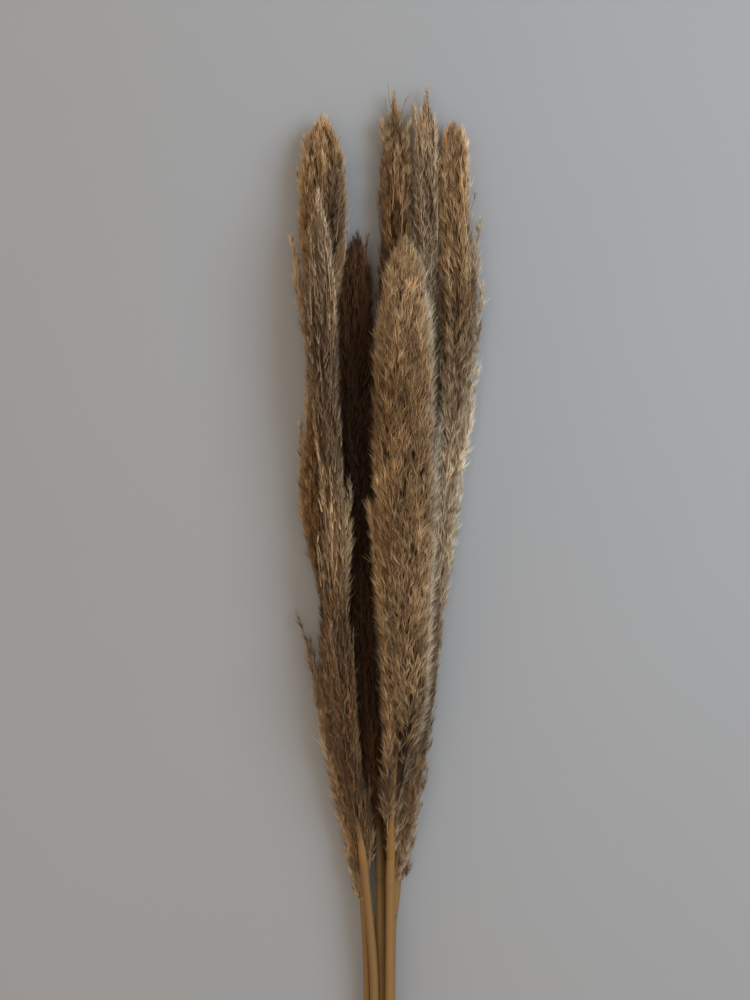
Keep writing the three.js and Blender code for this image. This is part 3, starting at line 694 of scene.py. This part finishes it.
def cover_tufts(stalk, rng, path, count):
    """Tufts between the branches, fewer beneath the plume and where neighbours press on it. Gives
    their feet and ways, and the nearest branch, whose sideways lean they take."""
    tries = 4 * count
    lengthwise, sidewise = ((np.arange(tries) * step + 0.5) % 1 for step in EVEN_STEPS)
    y = stalk.base - 3 + lengthwise * (stalk.tip - 2 - stalk.base)
    turn = sidewise * 2 * math.pi
    radius = hair_outline(stalk, y)
    distance = np.maximum(radius - rng.uniform(2.5, 6.5, tries), 0.35 * radius)
    held = settle(stalk, y, around(turn, distance))
    still = norm(held) / np.maximum(distance, 1e-6)
    still = np.where(np.sin(turn) > 0.2, 1, np.clip(still, 0.35, 1))
    weight = (radius + 3) * np.clip(0.85 + 0.4 * np.sin(turn), 0.45, 1.1) * still
    bare = stalk.look.get("bare", NEVER)
    hidden = np.interp(y, (bare, bare + 60), (0.03, 1.0))
    weight = np.where(np.sin(turn) > 0.1, hidden * weight, weight)
    share = count / weight.sum() * weight
    for _ in range(12):
        share = np.minimum(share * count / share.sum(), 1)
    pick = np.flatnonzero(np.diff(np.floor(np.cumsum(share)), prepend=0) > 0)[:count]
    y, held, turn = y[pick], held[pick], turn[pick]
    feet = stalk.points(y, held)

    middle = path[:, path.shape[1] // 2]
    gap = (feet[:, None] - middle[None]) * np.array([1.0, 0.12, 1.0])
    nearest = np.argmin(np.sum(gap * gap, axis=-1), axis=1)
    sideways = rng.normal(0, 0.14, len(middle))[nearest] + rng.normal(0, 0.16, len(feet))
    sideways = sideways * stalk.look.get("splay", 1.0)
    slope = np.clip((stalk.plume_radius(y + 2) - stalk.plume_radius(y - 2)) / 4, -0.3, 0.5)
    lean = np.tan(stalk.look["stand"] * rng.uniform(0.25, 1.1, len(feet))) + 0.8 * slope
    outward = np.stack([np.cos(turn), np.zeros(len(feet)), np.sin(turn)], axis=-1)
    ahead = np.array([0.0, 1.0, 0.0])
    across = np.cross(np.tile(ahead, (len(feet), 1)), outward)
    way = ahead + outward * lean[:, None] + across * np.tan(sideways)[:, None]
    return feet, unit(way), nearest


def make_plume(stalk, index, settings, material):
    """One plume: a closed body, branches that come up through it, and tufts on and between them."""
    rng = np.random.default_rng(FIRST_SEED + SEED_STEP * index)
    look = stalk.look
    fibres = Fibres()
    add_core(stalk, rng, fibres)
    add_stem(stalk, fibres)

    families = (
        side_strands(stalk, rng, look["strands"]),
        crown_strands(stalk, rng, look["strands"] // 6),
        loose_sprays(stalk),
    )
    y, offset, length, proud = (np.concatenate(parts) for parts in zip(*families))
    loose = np.arange(len(y)) >= len(y) - TWIGS * len(stalk.sprays)
    path = stalk.points(y, offset)
    shade = rng.random(len(path))
    for points, own_shade in zip(path, shade):
        skin, faces = tube(points, np.linspace(0.5, 0.15, len(points)))
        fibres.add(skin, faces, 0.7, 0.5, 0.7, own_shade, 0.3)

    on_branches = round((1 - look.get("cover", 0.5)) * look["tufts"])
    feet, way, size, owner, u = branch_tufts(stalk, rng, path, length, loose, on_branches)
    tuft_shade = rng.random(len(feet))
    cover, cover_way, nearest = cover_tufts(stalk, rng, path[~loose], look["tufts"] - on_branches)
    feet = np.concatenate([feet, cover])
    way = np.concatenate([way, cover_way])
    free = np.concatenate([loose[owner], np.zeros(len(cover), bool)])
    size = np.concatenate([size, rng.uniform(0.75, 1.15, len(cover))])
    tuft_shade = np.concatenate([tuft_shade, rng.random(len(cover))])
    branch_shade = shade[np.concatenate([owner, nearest])]
    size = size * settings.tuft_length / MM * look.get("hair", 1.0)
    size = size * np.clip(0.5 + stalk.plume_radius(feet[:, 1]) / 18, 0.55, 1.0)
    past = np.concatenate([proud[owner] * u, np.zeros(len(cover))])
    way, size = hold_tips(stalk, rng, feet, way, size, free, past)

    kinds = [tuft_template(rng, *look["blades"], look["fan"]) for _ in range(TUFT_KINDS)]
    kind = rng.integers(0, len(kinds), len(feet))
    for k, template in enumerate(kinds):
        mine = kind == k
        rolls = rng.uniform(0, 2 * math.pi, mine.sum())
        skin, faces, marks = stamp(template, feet[mine], way[mine], size[mine], rolls)
        each = len(template[0])
        own = (np.repeat(values[mine], each) for values in (tuft_shade, branch_shade))
        fibres.add(skin, faces, marks[:, 0], marks[:, 1], *own)
    for thread in stalk.strays:
        add_stray(stalk, rng, fibres, kinds[0], thread, settings)
    piece = fibres.finish(f"{stalk.name}_plume", stalk, material)
    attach(piece, "root")
    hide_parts(f"plume_{stalk.name}")


def make_cane(stalk, material):
    """One cane: a round straw tube with a ring at each node, a papery sheath above it, and a cut
    end with pith inside its wall."""
    length = stalk.base - stalk.cut
    bpy.ops.object.select_all(action="DESELECT")
    bpy.ops.mesh.primitive_cylinder_add(
        vertices=20, radius=1, depth=1, end_fill_type="NGON", calc_uvs=True, location=(0, 0, 0.5),
    )
    cane = bpy.context.object
    cane.name = f"{stalk.name}_cane"
    cane.data.name = cane.name
    bpy.ops.object.transform_apply()
    bpy.ops.object.mode_set(mode="EDIT")
    mesh = bmesh.from_edit_mesh(cane.data)
    bpy.ops.mesh.select_all(action="DESELECT")
    for edge in mesh.edges:
        low, high = sorted(v.co.z for v in edge.verts)
        edge.select = high - low > 0.5
    bmesh.update_edit_mesh(cane.data)
    bpy.ops.mesh.subdivide(number_cuts=89)
    mesh = bmesh.from_edit_mesh(cane.data)
    bpy.ops.mesh.select_all(action="DESELECT")
    mesh.select_mode = {"FACE"}
    for face in mesh.faces:
        face.select = face.normal.z < -0.9
    mesh.select_flush_mode()
    bmesh.update_edit_mesh(cane.data)
    bpy.ops.mesh.inset(thickness=0.2, use_even_offset=True)
    bpy.ops.mesh.extrude_region_move(TRANSFORM_OT_translate={"value": (0, 0, 0.0035)})
    bpy.ops.object.mode_set(mode="OBJECT")

    co = np.array([v.co for v in cane.data.vertices])
    y = stalk.cut + co[:, 2] * length
    radius = stalk.firm_radius(np.minimum(y, stalk.base - 0.001))
    for node in stalk.nodes:
        radius = radius + NODE_RISE * np.exp(-(((y - node) / NODE_LENGTH) ** 2))
        radius = radius + SHEATH_RISE * np.clip(1 - (y - node) / SHEATH_LENGTH, 0, 1) * (y > node + 2)
    path = stalk.points(y, co[:, :2] * radius[:, None])
    path[:, 2] = np.maximum(path[:, 2], 0.0)
    cane.data.vertices.foreach_set("co", (path * MM).astype(np.float32).ravel())
    cane.data.update()
    near = np.max([np.exp(-(((y - node) / 1.6) ** 2)) for node in stalk.nodes], axis=0)
    mark_points(cane.data, "node", near)
    # Painted shade: darker on the cane just below its plume, and a darker tone all along some canes.
    shade = stalk.look.get("painted_foot_shade", 0.0) * np.clip((y - stalk.base) / 70 + 1, 0, 1)
    shade = shade + stalk.look.get("cane_shade", 0.0)
    mark_points(cane.data, "shade", shade)
    bpy.ops.object.mode_set(mode="EDIT")
    bpy.ops.mesh.select_all(action="SELECT")
    bpy.ops.mesh.normals_make_consistent()
    bpy.ops.object.mode_set(mode="OBJECT")
    bpy.ops.object.shade_smooth_by_angle(angle=math.radians(50))
    cane.data.materials.append(material)
    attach(cane, "root")
    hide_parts(f"cane_{stalk.name}")


class Value:
    """One socket in a material, so that shader maths reads as a plain expression."""

    def __init__(self, shader, socket):
        self.shader, self.socket = shader, socket

    def _math(self, operation, first, second):
        return self.shader.node("ShaderNodeMath", {"operation": operation}, {0: first, 1: second})

    def __add__(self, other):
        return self._math("ADD", self, other)

    __radd__ = __add__

    def __mul__(self, other):
        return self._math("MULTIPLY", self, other)

    __rmul__ = __mul__

    def __sub__(self, other):
        return self._math("SUBTRACT", self, other)


class Shader:
    """A material being wired: node() adds any node and returns one of its outputs."""

    def __init__(self, name):
        self.material = bpy.data.materials.new(name)
        self.material.use_nodes = True
        self.tree = self.material.node_tree
        self.surface = self.tree.nodes["Principled BSDF"]

    def node(self, kind, settings=None, inputs=None, output=0):
        made = self.tree.nodes.new(kind)
        for key, value in (settings or {}).items():
            setattr(made, key, value)
        self.feed(made, inputs or {})
        return Value(self, made.outputs[output])

    def feed(self, made, inputs):
        for key, value in inputs.items():
            if isinstance(value, Value):
                self.tree.links.new(value.socket, made.inputs[key])
            else:
                made.inputs[key].default_value = value

    def attribute(self, name, output="Fac"):
        return self.node("ShaderNodeAttribute", {"attribute_name": name}, output=output)

    def noise(self, vector, scale, detail=3.0):
        inputs = {"Vector": vector, "Scale": scale, "Detail": detail}
        return self.node("ShaderNodeTexNoise", {}, inputs, "Fac")

    def place(self, scale=(1, 1, 1), source="Object"):
        where = self.node("ShaderNodeTexCoord", output=source)
        return self.node("ShaderNodeMapping", {}, {"Vector": where, "Scale": scale})

    def clamp(self, value, low, high, to_low=0.0, to_high=1.0):
        inputs = {"Value": value, "From Min": low, "From Max": high, "To Min": to_low, "To Max": to_high}
        return self.node("ShaderNodeMapRange", {}, inputs)

    def blend(self, factor, first, second, kind="MIX"):
        settings = {"data_type": "RGBA", "blend_type": kind}
        return self.node("ShaderNodeMix", settings, {0: factor, 6: first, 7: second}, 2)


def colour4(colour):
    return (*colour[:3], 1.0)


def plume_material(name, hair, husk, straw, pale):
    """Dried fibre: hair and husk in their own colours, paler towards the ends, each tuft and branch a
    little different, and straw-coloured stalks. Painted shade makes it darker and warmer deep in the
    plume and where its level is low; the level and the pale colour also paint light along the plume and
    a highlight on the side facing the window."""
    shader = Shader(name)
    fibre = shader.attribute("fibre", "Color")
    parts = shader.tree.nodes.new("ShaderNodeSeparateColor")
    shader.tree.links.new(fibre.socket, parts.inputs[0])
    along, hairy, tuft = (Value(shader, parts.outputs[k]) for k in range(3))
    branch = shader.attribute("fibre", "Alpha")
    depth = shader.attribute("depth")
    patch = shader.noise(shader.place((1, 0.35, 1)), 45.0)
    # The level paints light and shade along the plume together with its own tone.
    level = shader.attribute("level")
    streak = shader.noise(shader.place((1400, 120, 1400)), 1.0, 1.0)
    mix = shader.clamp(hairy * 0.7 + tuft * 0.4 + (patch - 0.5) * 0.5, 0.1, 1.0)
    colour = shader.blend(mix, colour4(husk), colour4(hair))
    # Painted shade: where the level is low the colour turns warmer and browner.
    low_level_shade_tint = shader.blend(shader.clamp(level, 0.3, 0.9), (1.08, 0.92, 0.72, 1), (1.0, 1.02, 1.0, 1))
    colour = shader.blend(1.0, colour, low_level_shade_tint, "MULTIPLY")
    # Paler hairs and the painted highlight on the window side take the pale colour.
    paler = shader.clamp(shader.attribute("pale") * (0.35 + 1.3 * tuft), 0, 1)
    colour = shader.blend(paler, colour, colour4(pale))
    # Lightness: paler fibre ends, random tuft, branch, blade, patch and streak tones, and painted shade
    # deep in the plume from the depth mark.
    light = (0.7 + 0.55 * along) * (0.66 + 0.68 * tuft) * (0.68 + 0.64 * branch) * (0.76 + 0.36 * hairy)
    light = light * shader.clamp(depth, 0, 1, 0.34, 1.1) * (0.7 + 0.6 * patch) * (0.75 + 0.5 * streak)
    # Painted shade deep in the plume is warmer as well.
    deep_shade_tint = shader.blend(depth, (1.1, 0.88, 0.66, 1), (0.98, 1.0, 1.0, 1))
    scaled = {0: colour, "Scale": light * level}
    colour = shader.node("ShaderNodeVectorMath", {"operation": "SCALE"}, scaled)
    colour = shader.blend(1.0, colour, deep_shade_tint, "MULTIPLY")
    colour = shader.blend(shader.attribute("stem"), colour, colour4(straw))
    shader.feed(shader.surface, {"Base Color": colour, "Roughness": 0.85, "Specular IOR Level": 0.15})
    shader.feed(shader.surface, {"Sheen Weight": 0.1, "Sheen Roughness": 0.5})
    return shader.material


def cane_material(name, colour):
    """Dry straw: fine grain along the cane, blotches, a dark line at each node, a darker tone all along
    some canes, and painted shade on the cane just below the dark plume."""
    shader = Shader(name)
    grain = shader.noise(shader.place((60, 6, 1), "UV"), 3.0, 4.0)
    blotch = shader.noise(shader.place((2, 9, 1), "UV"), 2.0, 3.0)
    dark = colour4([c * 0.5 for c in colour])
    light = colour4([min(c * 1.25, 1.0) for c in colour])
    tone = shader.blend(shader.clamp(grain, 0.3, 0.7), dark, light)
    tone = shader.blend(shader.clamp(blotch, 0.35, 0.75) * 0.6, colour4(colour), tone)
    line = shader.clamp(shader.attribute("node"), 0.35, 1.0) * 0.5
    tone = shader.blend(line, tone, colour4([c * 0.25 for c in colour]))
    tone = shader.blend(shader.attribute("shade"), tone, colour4(DARK_STRAW))
    bump = shader.node("ShaderNodeBump", {}, {"Strength": 0.25, "Distance": 0.0003, "Height": grain})
    rough = shader.clamp(grain, 0.2, 0.8, 0.42, 0.62)
    shader.feed(shader.surface, {"Base Color": tone, "Roughness": rough, "Normal": bump})
    return shader.material


def floor_material(colour):
    """A plain pale painted board with the faintest unevenness."""
    shader = Shader("pale_floor")
    cloud = shader.noise(shader.place(), 2.5)
    dimmer = colour4([c * 0.97 for c in colour])
    colour = shader.blend(shader.clamp(cloud, 0.3, 0.7), colour4(colour), dimmer)
    shader.feed(shader.surface, {"Base Color": colour, "Roughness": 0.75})
    return shader.material


def disk_light(name, place, size, power, tint):
    """A round soft light, aimed at the plumes."""
    data = bpy.data.lights.new(name, "AREA")
    data.shape, data.size, data.energy, data.color = "DISK", size, power, tint
    light = link(name, data)
    light.location = place
    aim = Vector((0, 0.2, 0))
    light.rotation_euler = (aim - Vector(place)).to_track_quat("-Z", "Y").to_euler()


def colour_property(name, description, default):
    return bpy.props.FloatVectorProperty(
        name=name, description=description, subtype="COLOR", size=3, min=0, max=1, default=default
    )


class PlumeSettings(bpy.types.PropertyGroup):
    """Sizes and colours of the plumes."""

    tuft_length: bpy.props.FloatProperty(
        name="Tuft Length", description="Length of one tuft of husks and hairs",
        unit="LENGTH", min=0.002, max=0.03, default=0.012,
    )
    golden: colour_property("Golden Hair", "Hair of the front plume", (0.87, 0.615, 0.35))
    pale: colour_property("Pale Hair", "Hair of the pale plume", (0.78, 0.49, 0.24))
    tan: colour_property("Tan Hair", "Hair of the tan plumes", (0.79, 0.505, 0.235))
    brown: colour_property("Brown Hair", "Hair of the brown plume", (0.71, 0.445, 0.19))
    grey: colour_property("Grey Hair", "Hair of the greyish plume", (0.75, 0.55, 0.36))
    # The dark plume's colour holds its own dark brown together with painted shade from the plumes around
    # it.
    dark: colour_property("Dark Hair", "Hair of the dark plume behind", (0.25, 0.115, 0.047))
    husk: colour_property("Husks", "Seed husks between the hairs", (0.42, 0.22, 0.09))
    pale_husk: colour_property("Pale Husks", "Husks of the pale and the greyish plume", (0.61, 0.42, 0.26))
    # Paler hairs, and the painted highlight on the sides that face the window, take this colour.
    pale_hair_and_highlight: colour_property("Pale Fuzz", "Fine hair on the sides that face the window", (0.95, 0.8, 0.6))


class CaneSettings(bpy.types.PropertyGroup):
    """Colours of the canes."""

    straw: colour_property("Straw", "Colour of most canes", (0.268, 0.143, 0.041))
    olive: colour_property("Olive Straw", "Colour of the greenish cane", (0.23, 0.135, 0.038))


class StageSettings(bpy.types.PropertyGroup):
    """Floor, light and camera."""

    floor: colour_property("Floor", "Colour of the floor", (0.372, 0.389, 0.411))
    key_power: bpy.props.FloatProperty(
        name="Window Light", description="Power of the large light on the right, in watts",
        min=0, max=500, default=25.5,
    )
    fill_power: bpy.props.FloatProperty(
        name="Fill Light", description="Power of the soft light overhead, in watts",
        min=0, max=500, default=6,
    )
    lens: bpy.props.FloatProperty(
        name="Lens", description="Focal length of the camera in millimetres",
        min=20, max=200, default=80,
    )


class PAMPAS_OT_canes(bpy.types.Operator):
    """Make the straw canes"""

    bl_idname = "pampas.canes"
    bl_label = "Canes"

    def execute(self, context):
        settings = context.scene.pampas_canes
        straw = cane_material("cane_straw", settings.straw)
        olive = cane_material("cane_olive", settings.olive)
        for stalk in STALKS:
            make_cane(stalk, olive if stalk.name == "middle_back" else straw)
        return {"FINISHED"}


class PAMPAS_OT_plumes(bpy.types.Operator):
    """Make the feathery plumes"""

    bl_idname = "pampas.plumes"
    bl_label = "Plumes"

    def execute(self, context):
        settings = context.scene.pampas_plumes
        made = {}
        for index, stalk in enumerate(STALKS):
            slot = stalk.look["slot"]
            if slot not in made:
                hair = getattr(settings, slot.removeprefix("plume_"))
                is_pale = slot in ("plume_pale", "plume_grey")
                husk = settings.pale_husk if is_pale else settings.husk
                is_dark = slot == "plume_dark"
                straw = DARK_STRAW if is_dark else context.scene.pampas_canes.straw
                made[slot] = plume_material(slot, hair, husk, straw, settings.pale_hair_and_highlight)
            make_plume(stalk, index, settings, made[slot])
        return {"FINISHED"}


class PAMPAS_OT_stage(bpy.types.Operator):
    """Make the floor, the lights and the camera"""

    bl_idname = "pampas.stage"
    bl_label = "Stage"

    def execute(self, context):
        settings = context.scene.pampas_stage
        bpy.ops.object.select_all(action="DESELECT")
        bpy.ops.mesh.primitive_plane_add(size=12, location=(0, 0, 0))
        floor = bpy.context.object
        floor.name = "floor"
        floor.data.materials.append(floor_material(settings.floor))

        disk_light("window_light", (1.36, 0.8, 1.4), 1.4, settings.key_power, (0.64, 0.82, 1.0))
        disk_light("fill_light", (-0.6, 0.5, 2.4), 2.0, settings.fill_power, (1.0, 0.94, 0.86))
        world = bpy.data.worlds.new("room")
        world.use_nodes = True
        background = world.node_tree.nodes["Background"]
        background.inputs[0].default_value = (1.0, 0.825, 0.65, 1)
        background.inputs[1].default_value = 0.6
        context.scene.world = world
        context.scene.view_settings.view_transform = "Standard"

        data = bpy.data.cameras.new("camera")
        camera = link("camera", data)
        data.lens = settings.lens
        data.sensor_width = SENSOR
        data.clip_start = 0.05
        data.clip_end = 50
        camera.location = (*VIEW_CENTRE, VIEW_HEIGHT + VIEW_LENGTH * settings.lens / SENSOR)
        context.scene.camera = camera
        return {"FINISHED"}


class PAMPAS_PT_panel(bpy.types.Panel):
    """Shows the settings and the buttons that make the bundle's pieces"""

    bl_idname = "PAMPAS_PT_panel"
    bl_label = "Pampas Grass Bundle"
    bl_space_type = "VIEW_3D"
    bl_region_type = "UI"
    bl_category = "Pampas"

    def draw(self, context):
        for group in GROUPS:
            box = self.layout.box()
            settings = getattr(context.scene, group)
            for name in settings.__annotations__:
                box.prop(settings, name)
        for operator in OPERATORS:
            self.layout.operator(operator.bl_idname)


GROUPS = {"pampas_plumes": PlumeSettings, "pampas_canes": CaneSettings, "pampas_stage": StageSettings}
OPERATORS = (PAMPAS_OT_canes, PAMPAS_OT_plumes, PAMPAS_OT_stage)
CLASSES = (*GROUPS.values(), *OPERATORS, PAMPAS_PT_panel)


def register():
    for cls in CLASSES:
        bpy.utils.register_class(cls)
    for name, cls in GROUPS.items():
        setattr(bpy.types.Scene, name, bpy.props.PointerProperty(type=cls))


def unregister():
    for name in GROUPS:
        delattr(bpy.types.Scene, name)
    for cls in reversed(CLASSES):
        bpy.utils.unregister_class(cls)


def main():
    register()
    bpy.ops.pampas.canes()
    bpy.ops.pampas.plumes()
    bpy.ops.pampas.stage()


if __name__ == "__main__":
    main()
